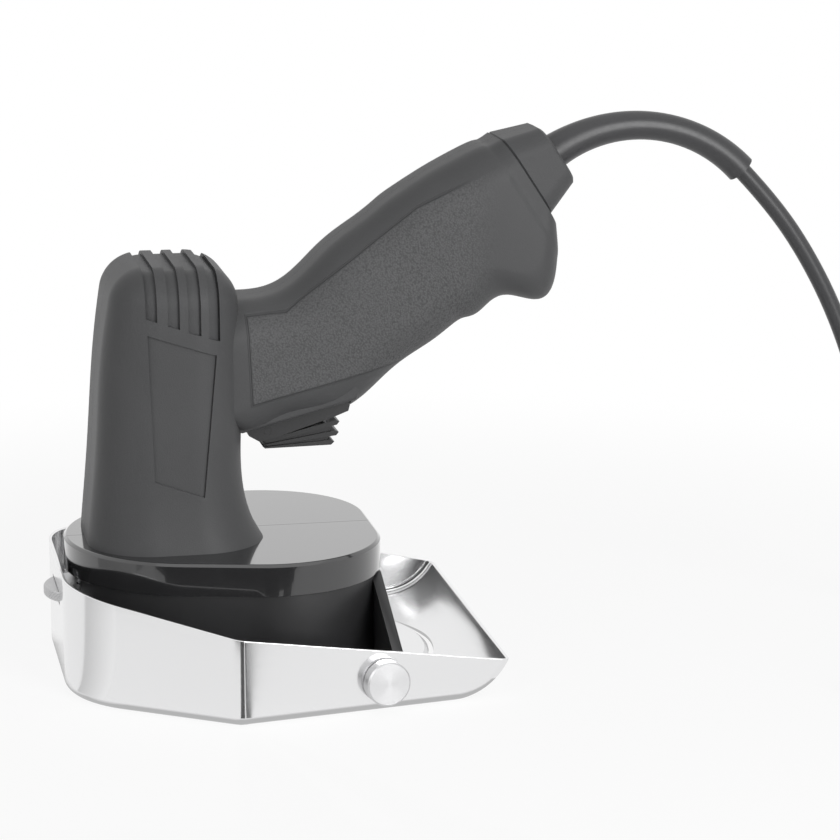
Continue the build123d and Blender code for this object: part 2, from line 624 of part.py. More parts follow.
BEVEL = 1.4
blade = turned(
    [
        (3.0 + SEAT_GAP, BLADE_LOW_Z + BLADE_DISH),
        (18.5, BLADE_LOW_Z + BLADE_DISH),
        (23.5, BLADE_LOW_Z),
        (BLADE_R, BLADE_LOW_Z),
        (BLADE_R, BLADE_LOW_Z + 0.12),
        (BLADE_R - BEVEL, BLADE_LOW_Z + BLADE_THICK),
        (24.5, BLADE_LOW_Z + BLADE_THICK),
        (19.5, BLADE_TOP_Z),
        (3.0 + SEAT_GAP, BLADE_TOP_Z),
    ],
    BLADE_X,
)
blade_nut = ring(11.0, 3.0 + SEAT_GAP, BLADE_LOW_Z + 0.5, BLADE_LOW_Z + BLADE_DISH, BLADE_X)
for side in sides:
    blade_nut = blade_nut - disc(1.4, BLADE_LOW_Z, BLADE_LOW_Z + 2.2, BLADE_X, side * 7.5)

# Motor
can_inner_r = MOTOR_R - MOTOR_WALL
BUSH_R = 5.0
motor_can = disc(MOTOR_R, CASE_TOP_Z, MOTOR_TOP_Z, MOTOR_X)
motor_can = motor_can - disc(can_inner_r, CASE_TOP_Z + 2, MOTOR_TOP_Z + 1, MOTOR_X)
motor_can = motor_can + disc(PILOT_R, CASE_TOP_Z - 3, CASE_TOP_Z + 4, MOTOR_X)
motor_can = motor_can - disc(BUSH_R + SEAT_GAP, CASE_TOP_Z - 4, CASE_TOP_Z + 5, MOTOR_X)
screw_bore_r = BOSS_SCREW_R + SEAT_GAP
for side in sides:
    y = side * MOTOR_SCREW_Y
    motor_can = motor_can - disc(screw_bore_r, CASE_TOP_Z - 1, CASE_TOP_Z + 3, MOTOR_X, y)
magnet_low = CASE_TOP_Z + 9
magnet_high = CASE_TOP_Z + 41
magnet_ring = ring(can_inner_r - SEAT_GAP, ARMATURE_R + 0.6, magnet_low, magnet_high, MOTOR_X)
magnet = magnet_ring & block(MOTOR_X - 12, MOTOR_X + 12, 3.5, 30, 0, 200)
motor_magnets = pair(magnet)
armature = ring(ARMATURE_R, SHAFT_R + SEAT_GAP, magnet_low + 2, magnet_high - 2, MOTOR_X)
for index in range(5):
    turn = Pos(MOTOR_X, 0, 0) * Rot(0, 0, 72 * index + 36)
    armature = armature - turn * block(5.5, 10.4, -2.4, 2.4, 0, 200)
    armature = armature - turn * block(9.0, 14.0, -0.9, 0.9, 0, 200)
COMM_LOW = magnet_high + 1.5
COMM_R = 5.5
commutator = ring(COMM_R, SHAFT_R + SEAT_GAP, COMM_LOW, COMM_LOW + 8, MOTOR_X)
motor_shaft = disc(SHAFT_R, GEAR_Z - 0.5, MOTOR_TOP_Z + 6.4, MOTOR_X)
motor_shaft = chamfer(motor_shaft.edges(), 0.3)
end_high = MOTOR_TOP_Z + 3
motor_end_cap = disc(MOTOR_R, MOTOR_TOP_Z, end_high, MOTOR_X) + disc(PILOT_R, end_high, end_high + 4, MOTOR_X)
motor_end_cap = fillet(motor_end_cap.edges().filter_by(GeomType.CIRCLE).group_by(Axis.Z)[1], 1.0)
for side in sides:
    y_low, y_high = sorted((side * 7.0, side * 14.5))
    motor_end_cap = motor_end_cap + block(
        MOTOR_X - 3.6, MOTOR_X + 3.6, y_low, y_high, COMM_LOW + 0.6, MOTOR_TOP_Z
    )
    y_low, y_high = sorted((0, side * 14.0))
    motor_end_cap = motor_end_cap - block(
        MOTOR_X - 2.1, MOTOR_X + 2.1, y_low, y_high, COMM_LOW + 1.9, COMM_LOW + 6.1
    )
motor_end_cap = motor_end_cap - disc(BUSH_R + SEAT_GAP, MOTOR_TOP_Z - 1, end_high + 5, MOTOR_X)
brush = block(MOTOR_X - 2, MOTOR_X + 2, COMM_R + 0.1, 12.5, COMM_LOW + 2, COMM_LOW + 6)
motor_brushes = pair(brush)
motor_bushes = Compound(
    children=[
        ring(BUSH_R, SHAFT_R + RUN_GAP, CASE_TOP_Z - 3, CASE_TOP_Z + 4, MOTOR_X).solids()[0],
        ring(BUSH_R, SHAFT_R + RUN_GAP, MOTOR_TOP_Z, end_high + 4, MOTOR_X).solids()[0],
    ]
)

# Trigger, its bezel, pin, spring and switch
PIVOT = (5.0, -3.2)
pivot_x, pivot_z = lip(*PIVOT)
BEZEL_HALF = 11.6
bezel_outline = [
    (-1.6, 0),
    (32.6, 0),
    (32.6, -2.6),
    (31.6, -4.4),
    (27.0, -4.9),
    (6.0, -6.0),
    (1.6, -5.8),
    (-1.2, -3.0),
]
trigger_bezel = side_prism([lip(e, m) for e, m in bezel_outline], -BEZEL_HALF, BEZEL_HALF)
trigger_bezel = trigger_bezel - lip_block(1.8, 21.6, -8, 1, -TRIGGER_HALF + 0.3, TRIGGER_HALF - 0.3)
trigger_bezel = trigger_bezel - cross_bar(PIN_R + SEAT_GAP, pivot_x, pivot_z, -20, 20)
trigger_bezel = trigger_bezel - disc(SPRING_R + 0.3, SPRING_Z - 6, SPRING_Z + 12, SPRING_X)
fins = [
    [(3.0, -6.5), (27.4, -6.9), (28.3, -7.7), (27.2, -8.5), (4.0, -7.6)],
    [(3.2, -7.9), (26.3, -10.2), (27.2, -11.0), (26.1, -11.8), (4.0, -8.6)],
    [(3.6, -8.8), (24.3, -12.8), (25.0, -13.6), (23.7, -14.3), (2.9, -9.2), (2.4, -8.4)],
]
core = [(2.6, -6.5), (25.6, -6.9), (24.8, -10.4), (22.4, -13.2), (2.9, -8.9)]
web = [(2.9, -2.4), (7.1, -2.4), (9.0, -6.9), (2.6, -6.9)]
trigger = side_prism([lip(e, m) for e, m in core], -TRIGGER_HALF + 1.1, TRIGGER_HALF - 1.1)
for fin in fins:
    trigger = trigger + side_prism([lip(e, m) for e, m in fin], -TRIGGER_HALF, TRIGGER_HALF)
INNER_HALF = TRIGGER_HALF - 0.7
trigger = trigger + side_prism([lip(e, m) for e, m in web], -INNER_HALF, INNER_HALF)
trigger = trigger + cross_bar(2.5, pivot_x, pivot_z, -INNER_HALF, INNER_HALF)
trigger = trigger + lip_block(14.6, 18.6, -8, 2.5, -3, 3)
trigger = trigger - cross_bar(PIN_R + RUN_GAP, pivot_x, pivot_z, -20, 20)
trigger_pin = cross_bar(PIN_R, pivot_x, pivot_z, -BEZEL_HALF, BEZEL_HALF)

spring_low = lip(24.0, -6.9)[1] + 0.45
trigger_spring = ring(SPRING_R, SPRING_R - 0.6, spring_low, SPRING_TOP_Z, SPRING_X)

BUTTON_LOW = 2.65
trigger_switch = lip_block(8.2, 28.2, 5.6, 15.6, -3.2, 3.2)
trigger_switch = chamfer(trigger_switch.edges().filter_by(Axis.Y), 0.6)
trigger_switch = trigger_switch - lip_block(15.0, 18.2, 4, 8.2, -1.5, 1.5)
switch_button = lip_block(15.1, 18.1, BUTTON_LOW, 7.0, -1.4, 1.4)

# Electronics in the grip
circuit_board = grip_block(40, 77, -13, 9, -8.6, -7.0)
capacitor = grip_block(50, 68, -8, 4, -7.0, 2.4)
capacitor = fillet(capacitor.faces().sort_by(Axis.Y)[-1].edges(), 1.2)

# Cord: the hanging length, then the unseen rest in a tied coil beside the knife
start_x, start_z = relief_point(RELIEF_END_ANGLE)
COIL_PITCH = 2 * CORD_R + COIL_GAP
COIL_LOW_Z = CORD_R + TIE_THICK + TIE_ROOM
COIL_HIGH_Z = COIL_LOW_Z + COIL_PITCH
COIL_OUTER_R = COIL_INNER_R + COIL_PITCH * COIL_TURNS / 2
lead_steps = [
    (13.5, RELIEF_END_ANGLE),
    (20.0, -53.0),
    (24.0, -61.0),
    (26.0, -69.0),
    (0.0, -77.0),
    (22.0, -80.0),
    (18.0, -60.0),
    (18.0, -38.0),
    (18.0, -16.0),
    (15.0, 0.0),
]
fallen = sum(length * math.sin(math.radians(-angle)) for length, angle in lead_steps)
free_run = (start_z - COIL_LOW_Z - fallen) / math.sin(math.radians(77.0))
lead_points = [(start_x, 0.0, start_z)]
for length, angle in lead_steps:
    x, y, z = lead_points[-1]
    turn = math.radians(angle)
    run = length if length else free_run
    lead_points.append((x + run * math.cos(turn), 0.0, z + run * math.sin(turn)))
print("free run of the lead", round(free_run, 1), "end height", round(lead_points[-1][2], 2))


def fair_radii(points):
    """One radius for each corner, from the shorter of its two runs."""
    radii = []
    for before, here, after in zip(points, points[1:], points[2:]):
        run_in = Vector(*here) - Vector(*before)
        run_out = Vector(*after) - Vector(*here)
        turn = math.radians(run_in.get_angle(run_out))
        radii.append(0.45 * min(run_in.length, run_out.length) / math.tan(turn / 2))
    return radii


def cord_tube(name, points):
    """Cord swept along straight runs and tangent arcs; prints its radii and volume."""
    radii = fair_radii(points)
    path = FilletPolyline(*points, radius=radii)
    start = Plane(origin=path.position_at(0), z_dir=path.tangent_at(0))
    tube = sweep(start * Circle(CORD_R), path=path)
    wanted = math.pi * CORD_R**2 * path.length
    print(name, "length", round(path.length, 1), "smallest radius", round(min(radii), 1))
    print(name, "volume", round(tube.volume, 1), "section times length", round(wanted, 1))
    return tube


cord_lead = cord_tube("lead", lead_points)

coil_x = lead_points[-1][0]
coil_y = -COIL_OUTER_R


def coil_point(turns):
    """Point of the coil after a number of turns, clockwise from above, in below and out above."""
    middle = COIL_TURNS / 2
    radius = COIL_INNER_R + COIL_PITCH * abs(turns - middle)
    if abs(turns - middle) < 0.25:
        radius = COIL_INNER_R + COIL_PITCH * (0.125 + 2 * (turns - middle) ** 2)
    climb = min(max((turns - middle + 0.25) / 0.5, 0.0), 1.0)
    rise = climb * climb * (3 - 2 * climb)
    angle = math.pi / 2 - 2 * math.pi * turns
    height = COIL_LOW_Z + (COIL_HIGH_Z - COIL_LOW_Z) * rise
    return Vector(coil_x + radius * math.cos(angle), coil_y + radius * math.sin(angle), height)


def coil_heading(turns):
    """Direction of the coil there; level and square to the radius at its two ends."""
    if turns <= 0.0:
        return Vector(1, 0, 0)
    if turns >= COIL_TURNS:
        return Vector(-1, 0, 0)
    return (coil_point(turns + 0.001) - coil_point(turns - 0.001)).normalized()


def biarc(first, first_way, last, last_way):
    """Two tangent arcs between two points with given directions."""
    span = last - first
    ways = first_way + last_way
    spread = 2 * (1 - first_way.dot(last_way))
    along = span.dot(ways)
    reach = (math.sqrt(along * along + spread * span.dot(span)) - along) / spread
    near = first + first_way * reach
    far = last - last_way * reach
    joint = (near + far) * 0.5
    joint_way = (far - near).normalized()
    return [TangentArc(first, joint, tangent=first_way), TangentArc(joint, last, tangent=joint_way)]


coil_steps = int(COIL_TURNS * 4)
coil_edges = []
for index in range(coil_steps):
    here = COIL_TURNS * index / coil_steps
    there = COIL_TURNS * (index + 1) / coil_steps
    arcs = biarc(coil_point(here), coil_heading(here), coil_point(there), coil_heading(there))
    coil_edges.extend(edge for arc in arcs for edge in arc.edges())
coil_path = Wire(coil_edges)
coil_start = Plane(origin=coil_point(0), z_dir=coil_heading(0))
coil_section = RegularPolygon(CORD_R, COIL_SIDES)
cord_coil = sweep(coil_start * coil_section, path=coil_path)
coil_wanted = coil_section.area * coil_path.length
print("coil length", round(coil_path.length, 1), "across", round(2 * (COIL_INNER_R + COIL_OUTER_R) / 2, 1))
print("coil volume", round(cord_coil.volume, 1), "section times length", round(coil_wanted, 1))
samples = []
for edge in coil_edges:
    samples.extend(edge.position_at(k / 6) for k in range(6))
smallest = 1000.0
for index, one in enumerate(samples):
    for other in samples[index + 20:]:
        smallest = min(smallest, (one - other).length)
print("coil gap between turns", round(smallest - 2 * CORD_R, 2))

# Tie round the bundle, tail and plug
tie_half = 3.0
bundle_in = COIL_INNER_R - CORD_R - 0.6
bundle_out = COIL_OUTER_R + CORD_R + 0.6
tie_low = 0.0
tie_high = COIL_HIGH_Z + CORD_R + TIE_ROOM + TIE_THICK
tie_outer = RectangleRounded(bundle_out - bundle_in + 2 * TIE_THICK, tie_high - tie_low, 3.4)
tie_inner = RectangleRounded(bundle_out - bundle_in, tie_high - tie_low - 2 * TIE_THICK, 3.4 - TIE_THICK)
tie_middle = (coil_x + (bundle_in + bundle_out) / 2, coil_y, (tie_low + tie_high) / 2)
tie_plane = Plane(origin=tie_middle, x_dir=(1, 0, 0), z_dir=(0, 1, 0))
cord_tie = extrude(tie_plane * (tie_outer - tie_inner), tie_half, both=True)

PLUG_THICK = 14.0
PLUG_WIDE = 25.0
PLUG_LONG = 34.0
PLUG_Z = PLUG_THICK / 2
tail_y = coil_y - COIL_OUTER_R
tail_points = [
    (coil_x, tail_y, COIL_HIGH_Z),
    (coil_x - 12, tail_y, COIL_HIGH_Z),
    (coil_x - 28, tail_y, PLUG_Z),
    (coil_x - 40, tail_y, PLUG_Z),
]
cord_tail = cord_tube("tail", tail_points)
plug_x = tail_points[-1][0]
along_plug = Plane(origin=(plug_x, tail_y, PLUG_Z), x_dir=(0, 1, 0), z_dir=(-1, 0, 0))
plug_sections = [
    along_plug * RectangleRounded(9.0, 9.0, 4.2),
    along_plug.offset(10) * RectangleRounded(12.0, 10.5, 4.4),
    along_plug.offset(20) * RectangleRounded(PLUG_WIDE, PLUG_THICK, 5.5),
    along_plug.offset(PLUG_LONG) * RectangleRounded(PLUG_WIDE, PLUG_THICK, 5.5),
]
plug_body = loft(plug_sections, ruled=True)
PIN_PITCH = 19.0
PLUG_PIN_R = 2.0
pin_list = []
for side in sides:
    pin_plane = along_plug.offset(PLUG_LONG - 6)
    pin_solid = extrude(pin_plane * (Pos(side * PIN_PITCH / 2, 0) * Circle(PLUG_PIN_R)), 25)
    hole = extrude(pin_plane * (Pos(side * PIN_PITCH / 2, 0) * Circle(PLUG_PIN_R + SEAT_GAP)), 26)
    plug_body = plug_body - hole
    tip = pin_solid.edges().sort_by(Axis.X)[0]
    pin_list.append(fillet(tip, 1.2).solids()[0])
plug_pins = Compound(children=pin_list)

# Export, one file for each piece
nodes = {
    "housing_near": housing_near,
    "housing_far": housing_far,
    "rear_cap": rear_cap,
    "housing_screws": housing_screws,
    "gear_case_lid": lid,
    "gear_case_body": body,
    "case_screws": case_screws,
    "column_screws": column_screws,
    "motor_screws": motor_screws,
    "motor_can": motor_can,
    "motor_end_cap": motor_end_cap,
    "motor_magnets": motor_magnets,
    "motor_brushes": motor_brushes,
    "motor_bushes": motor_bushes,
    "armature": armature,
    "commutator": commutator,
    "motor_shaft": motor_shaft,
    "pinion": pinion,
    "drive_gear": drive_gear,
    "spindle": spindle,
    "spindle_bearing_low": spindle_bearing_low,
    "spindle_bearing_top": spindle_bearing_top,
    "spindle_seal": spindle_seal,
    "blade": blade,
    "blade_nut": blade_nut,
    "tray": tray,
    "depth_stud": depth_stud,
    "depth_wheel": depth_wheel,
    "side_screw_near": side_screw_near,
    "side_screw_far": side_screw_far,
    "clamp_nuts": clamp_nuts,
    "trigger": trigger,
    "trigger_bezel": trigger_bezel,
    "trigger_pin": trigger_pin,
    "trigger_spring": trigger_spring,
    "trigger_switch": trigger_switch,
    "switch_button": switch_button,
    "circuit_board": circuit_board,
    "capacitor": capacitor,
    "strain_relief": strain_relief,
    "cord_lead": cord_lead,
    "cord_coil": cord_coil,
    "cord_tie": cord_tie,
    "cord_tail": cord_tail,
    "plug_body": plug_body,
    "plug_pins": plug_pins,
}
for name, shape in nodes.items():
    export_step(shape, os.path.join("parts", name + ".step"))
print("nodes", len(nodes))
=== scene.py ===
# %% [markdown]
# # Electric kebab knife
# A hand-held knife for slicing meat: a motor in an upright column, a grip that rises from it, a
# black gear case, a round blade and a bright tray that catches the slices. The packed CAD model is
# the frame: it says where every piece is and how it moves. The knife could be drawn a second time
# here, but this script only dresses the frame, so that looks and motion stay together.

# %% Load the frame
import json
import math

import bmesh
import bpy
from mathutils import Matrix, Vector


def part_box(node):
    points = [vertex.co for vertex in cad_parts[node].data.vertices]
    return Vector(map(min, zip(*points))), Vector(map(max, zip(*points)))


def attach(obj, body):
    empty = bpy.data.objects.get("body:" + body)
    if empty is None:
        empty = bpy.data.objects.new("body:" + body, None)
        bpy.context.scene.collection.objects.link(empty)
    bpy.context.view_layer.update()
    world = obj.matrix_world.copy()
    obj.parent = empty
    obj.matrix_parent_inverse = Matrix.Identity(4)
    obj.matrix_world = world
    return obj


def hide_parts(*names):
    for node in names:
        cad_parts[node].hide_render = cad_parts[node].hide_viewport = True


MM = 0.001

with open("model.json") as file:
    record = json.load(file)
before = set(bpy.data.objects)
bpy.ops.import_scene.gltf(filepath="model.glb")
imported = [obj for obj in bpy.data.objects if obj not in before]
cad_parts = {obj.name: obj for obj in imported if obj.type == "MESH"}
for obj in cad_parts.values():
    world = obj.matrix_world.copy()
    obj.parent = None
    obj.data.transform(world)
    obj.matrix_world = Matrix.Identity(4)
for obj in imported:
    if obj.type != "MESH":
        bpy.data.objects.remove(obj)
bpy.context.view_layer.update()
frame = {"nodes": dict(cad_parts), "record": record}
record = frame["record"]

# %% [markdown]
# ## The camera
# The photograph was taken with a long lens, a little in front of the knife's side and a little
# above it. The lens could be found by trial. Here the width that the picture spans at the knife's
# middle sets it, so the camera needs no shift.

# %% Camera
CAMERA_AZIMUTH = math.radians(-11.55)
CAMERA_RISE = math.radians(12.75)
CAMERA_DISTANCE = 1.0
CAMERA_SIGHT = 50.0
FRAME_WIDTH = 0.273
LOOK_AT = Vector((0.0372, 0.0, 0.0761))
SENSOR_WIDTH = 36.0

look_from = Vector(
    (
        math.sin(CAMERA_AZIMUTH) * math.cos(CAMERA_RISE),
        -math.cos(CAMERA_AZIMUTH) * math.cos(CAMERA_RISE),
        math.sin(CAMERA_RISE),
    )
)
camera_data = bpy.data.cameras.new("camera")
camera_data.sensor_width = SENSOR_WIDTH
camera_data.lens = SENSOR_WIDTH * CAMERA_DISTANCE / FRAME_WIDTH
camera_data.clip_end = CAMERA_SIGHT
camera = bpy.data.objects.new("camera", camera_data)
camera.location = LOOK_AT + look_from * CAMERA_DISTANCE
camera.rotation_euler = (-look_from).to_track_quat("-Z", "Y").to_euler()
bpy.context.collection.objects.link(camera)
bpy.context.scene.camera = camera
bpy.context.scene.view_settings.view_transform = "Standard"
print("lens in mm:", round(camera_data.lens, 1))

# %% [markdown]
# ## Shader maths
# A finish is a formula over the surface. It could be wired by hand, node by node, but then it is
# hard to read. One small class wraps a socket instead, so that sums and products of sockets are
# written as plain Python, and each operation adds its own Math node. Any other node comes from the
# one method `node`.


# %% Sockets as numbers
class Field:
    """A node's output that can be added, multiplied and faded like a number."""

    def __init__(self, socket):
        self.socket = socket
        self.tree = socket.id_data

    @staticmethod
    def node(tree, kind, settings=None, sockets=None):
        """Adds a node: its settings first, then the values or links of its sockets."""
        made = tree.nodes.new(kind)
        for name, value in (settings or {}).items():
            setattr(made, name, value)
        for name, value in (sockets or {}).items():
            Field.feed(made.inputs[name], value)
        return made

    @staticmethod
    def feed(socket, value):
        """Links a field to a socket, or sets the socket's own value."""
        if isinstance(value, Field):
            value.tree.links.new(value.socket, socket)
        else:
            socket.default_value = value

    def maths(self, operation, *values):
        settings = {"operation": operation}
        made = self.node(self.tree, "ShaderNodeMath", settings, dict(enumerate(values)))
        return Field(made.outputs[0])

    def __add__(self, other):
        return self.maths("ADD", self, other)

    def __radd__(self, other):
        return self.maths("ADD", other, self)

    def __sub__(self, other):
        return self.maths("SUBTRACT", self, other)

    def __rsub__(self, other):
        return self.maths("SUBTRACT", other, self)

    def __mul__(self, other):
        return self.maths("MULTIPLY", self, other)

    def __rmul__(self, other):
        return self.maths("MULTIPLY", other, self)

    def __abs__(self):
        return self.maths("ABSOLUTE", self)

    def least(self, other):
        return self.maths("MINIMUM", self, other)

    def most(self, other):
        return self.maths("MAXIMUM", self, other)

    def root(self):
        return self.maths("SQRT", self)

    def sine(self):
        return self.maths("SINE", self)

    def fade(self, low, high):
        """0 up to one value, 1 from another on, smooth between."""
        settings = {"interpolation_type": "SMOOTHSTEP"}
        sockets = {"Value": self, "From Min": low, "From Max": high}
        made = self.node(self.tree, "ShaderNodeMapRange", settings, sockets)
        return Field(made.outputs["Result"])

    def line(self, half_width):
        """1 where the value is near zero: a thin drawn line."""
        return 1.0 - abs(self).fade(half_width * 0.5, half_width)


print("a field can:", ", ".join(name for name in vars(Field) if not name.startswith("_")))

# %% [markdown]
# ## Finishes
# A finish is a material kept with its shader and its coordinates. A pattern could follow a UV map,
# but every piece here sits at the origin, so Object coordinates in millimetres put a pattern just
# where the drawing says, with nothing to unwrap.


# %% Materials with coordinates
class Finish:
    """A material with its shader and the place on the surface, to start formulas from."""

    def __init__(self, name, colour, roughness, metallic=0.0):
        self.material = bpy.data.materials.new(name)
        self.material.use_nodes = True
        self.tree = self.material.node_tree
        self.shader = next(n for n in self.tree.nodes if n.type == "BSDF_PRINCIPLED")
        self.set("Base Color", (*colour, 1.0))
        self.set("Roughness", roughness)
        self.set("Metallic", metallic)
        self.place = self.field("ShaderNodeTexCoord", "Object")

    def field(self, kind, output, settings=None, sockets=None):
        """One output of a new node."""
        return Field(Field.node(self.tree, kind, settings, sockets).outputs[output])

    def set(self, socket, value):
        Field.feed(self.shader.inputs[socket], value)

    def axes(self):
        """X, Y and Z of the place, in millimetres."""
        made = Field.node(self.tree, "ShaderNodeSeparateXYZ", None, {"Vector": self.place})
        return [Field(made.outputs[axis]) * (1.0 / MM) for axis in "XYZ"]

    def noise(self, scale, detail=2.0, stretch=None):
        """Noise over the surface, stretched along an axis if asked."""
        where = self.place
        if stretch:
            sockets = {"Vector": self.place, "Scale": stretch}
            where = self.field("ShaderNodeMapping", "Vector", None, sockets)
        sockets = {"Vector": where, "Scale": scale, "Detail": detail}
        return self.field("ShaderNodeTexNoise", "Fac", None, sockets)

    def pebbles(self, scale):
        """Rounded bumps round many scattered points."""
        sockets = {"Vector": self.place, "Scale": scale}
        settings = {"feature": "SMOOTH_F1"}
        return 1.0 - self.field("ShaderNodeTexVoronoi", "Distance", settings, sockets)

    def colours(self, factor, first, second):
        """One colour fading to another; 6 and 7 are the Mix node's two colours, 2 its result."""
        sockets = {"Factor": factor, 6: (*first, 1.0), 7: (*second, 1.0)}
        self.set("Base Color", self.field("ShaderNodeMix", 2, {"data_type": "RGBA"}, sockets))

    def bump(self, height, distance, strength=1.0):
        sockets = {"Strength": strength, "Distance": distance, "Height": height}
        self.set("Normal", self.field("ShaderNodeBump", "Normal", None, sockets))


print("a finish can:", ", ".join(name for name in vars(Finish) if not name.startswith("_")))

# %% [markdown]
# ## The grip's panel
# On each side of the grip a panel has a coarser, pebbled grain, with a thin groove along its front,
# lower and upper edges; to the rear it fades out. It could be cut into the mesh. As it has hardly
# any depth, it is drawn in the finish: its outline is a few straight lines, and the distance from
# its edge is the least of the distances to them.

# %% Panel outline
PANEL_FRONT = ((116.2, -22.1), -0.0389)
PANEL_LOWER = ((-21.0, 87.9), 0.2278)
PANEL_UPPER_FRONT = ((-9.0, 117.0), 0.069)
PANEL_UPPER_RISE = ((-9.0, 117.1), 0.753)
PANEL_UPPER_REAR = ((32.7, 148.5), 0.479)
PANEL_UPPER_LEAN = 0.8


def on_line(value, line):
    """Where a straight line, given by a point and a slope, stands at a value."""
    (start, height), slope = line
    return height + slope * (value - start)


def grip_panel(x, z):
    """Distance in mm from the edge of the grained panel, counted inwards."""
    front = x - on_line(z, PANEL_FRONT)
    lower = z - on_line(x, PANEL_LOWER)
    valley = on_line(x, PANEL_UPPER_FRONT).most(on_line(x, PANEL_UPPER_RISE))
    upper = valley.least(on_line(x, PANEL_UPPER_REAR))
    return front.least(lower).least((upper - z) * PANEL_UPPER_LEAN)


panel_rear = on_line(PANEL_UPPER_REAR[0][0], PANEL_LOWER)
print("panel's height in mm at its rear:", round(PANEL_UPPER_REAR[0][1] - panel_rear, 1))

# %% [markdown]
# ## The housing's plastic
# The housing is charcoal plastic with a very fine spark-eroded grain, and the parting line of its
# two halves runs along the middle plane. A plain colour would look like paint. Fine noise in bump,
# polish and tone together gives the soft, dry look of a moulding.

# %% Housing finish
CHARCOAL = (0.056, 0.0565, 0.058)
PALE_CHARCOAL = (0.1, 0.1005, 0.1025)
HOUSING_SPECULAR = 0.2
HOUSING_ROUGH = 0.4
ROUGH_BY_FINE, ROUGH_BY_SLOW, ROUGH_BY_GRAIN = 0.12, 0.06, 0.06
FINE_SCALE = 2600.0
FINE_DETAIL = 3.0
SLOW_SCALE = 45.0
PEBBLE_SCALE = 1900.0
PANEL_EDGE = (0.1, 0.9)
PANEL_FADE = (44.0, 62.0)
GROOVE_HALF = 0.42
GROOVE_FADE = (40.0, 52.0)
SEAM_HALF = 0.16
FINE_HEIGHT, CUT_DEPTH = 0.25, 1.8
HOUSING_BUMP = (0.00018, 0.9)
TONE_START, TONE_BY_FINE, TONE_BY_SLOW, TONE_BY_CUT = 0.08, 0.25, 0.2, 0.5
GRAIN_TONE, GRAIN_SPREAD = 0.16, 1.2


def housing_finish():
    finish = Finish("housing", CHARCOAL, HOUSING_ROUGH)
    x, y, z = finish.axes()
    inside = grip_panel(x, z)
    grained = inside.fade(*PANEL_EDGE) * (1.0 - x.fade(*PANEL_FADE))
    groove = inside.line(GROOVE_HALF) * (1.0 - x.fade(*GROOVE_FADE))
    cut = groove.most(y.line(SEAM_HALF))
    fine = finish.noise(FINE_SCALE, FINE_DETAIL)
    slow = finish.noise(SLOW_SCALE)
    pebbles = finish.pebbles(PEBBLE_SCALE)
    finish.bump(FINE_HEIGHT * fine + pebbles * grained - CUT_DEPTH * cut, *HOUSING_BUMP)
    worn = ROUGH_BY_FINE * fine + ROUGH_BY_SLOW * slow + ROUGH_BY_GRAIN * grained
    finish.set("Roughness", HOUSING_ROUGH + worn)
    grain = grained * (GRAIN_TONE + GRAIN_SPREAD * (pebbles - 0.5))
    tone = TONE_START + TONE_BY_FINE * fine + TONE_BY_SLOW * slow + grain - TONE_BY_CUT * cut
    finish.colours(tone.fade(0.0, 1.0), CHARCOAL, PALE_CHARCOAL)
    finish.set("Specular IOR Level", HOUSING_SPECULAR)
    return finish.material


HOUSING = housing_finish()
print("nodes in the housing's finish:", len(HOUSING.node_tree.nodes))

# %% [markdown]
# ## Black plastics
# The gear case's lid is black and polished, with a clear gloss and a fine parting line along its
# middle; the case below it, the trigger and the trigger's frame are satin. One function makes both
# from a low and a higher roughness. The line could be a groove, but a mirror hardly shows one as
# fine as that, so the gloss is dulled along it.

# %% Case and trigger finishes
CASE_BLACK = (0.018, 0.018, 0.019)
CASE_PALE = (0.026, 0.026, 0.027)
CASE_SLOW_SCALE = 70.0
CASE_SLOW_DETAIL = 3.0
CASE_FINE_SCALE = 1800.0
CASE_SLOW_SHARE = 0.6
CASE_BUMP = (0.00003, 0.25)
POLISHED = (0.07, 0.09)
SATIN = (0.3, 0.16)
LID_SEAM_HALF = 0.3
LID_SEAM_DULL = 0.8


def case_finish(name, roughness, spread):
    finish = Finish(name, CASE_BLACK, roughness)
    slow = finish.noise(CASE_SLOW_SCALE, CASE_SLOW_DETAIL)
    fine = finish.noise(CASE_FINE_SCALE)
    uneven = CASE_SLOW_SHARE * slow + (1.0 - CASE_SLOW_SHARE) * fine
    finish.set("Roughness", roughness + spread * uneven)
    finish.bump(fine, *CASE_BUMP)
    finish.colours(slow, CASE_BLACK, CASE_PALE)
    return finish


def gear_case_finish():
    """Polished black with a clear gloss, dulled along the mould's parting line."""
    finish = case_finish("gear_case", *POLISHED)
    across = finish.axes()[1]
    finish.set("Coat Weight", 1.0 - LID_SEAM_DULL * across.line(LID_SEAM_HALF))
    return finish


GEAR_CASE = gear_case_finish().material
SATIN_BLACK = case_finish("satin_black", *SATIN).material
print("black plastics:", GEAR_CASE.name, SATIN_BLACK.name)

# %% [markdown]
# ## Plain worked finishes
# The cord's jacket is soft plastic with a dull sheen, and most pieces inside are plain plastic or
# metal. One colour each would do, but nothing made is quite even, so a little mottle goes into
# colour and polish.

# %% Worked finishes
MOTTLE_SCALE = 800.0
MOTTLE_DETAIL = 3.0
MOTTLE_ROUGH = 0.07
MOTTLE_DARK, MOTTLE_PALE = 0.85, 1.12
CORD_GREY, CORD_ROUGH = (0.034, 0.034, 0.036), 0.36
BRIGHT_STEEL, BRIGHT_ROUGH = (0.55, 0.55, 0.565), 0.28
BLACK_STEEL, BLACK_ROUGH = (0.02, 0.02, 0.021), 0.42


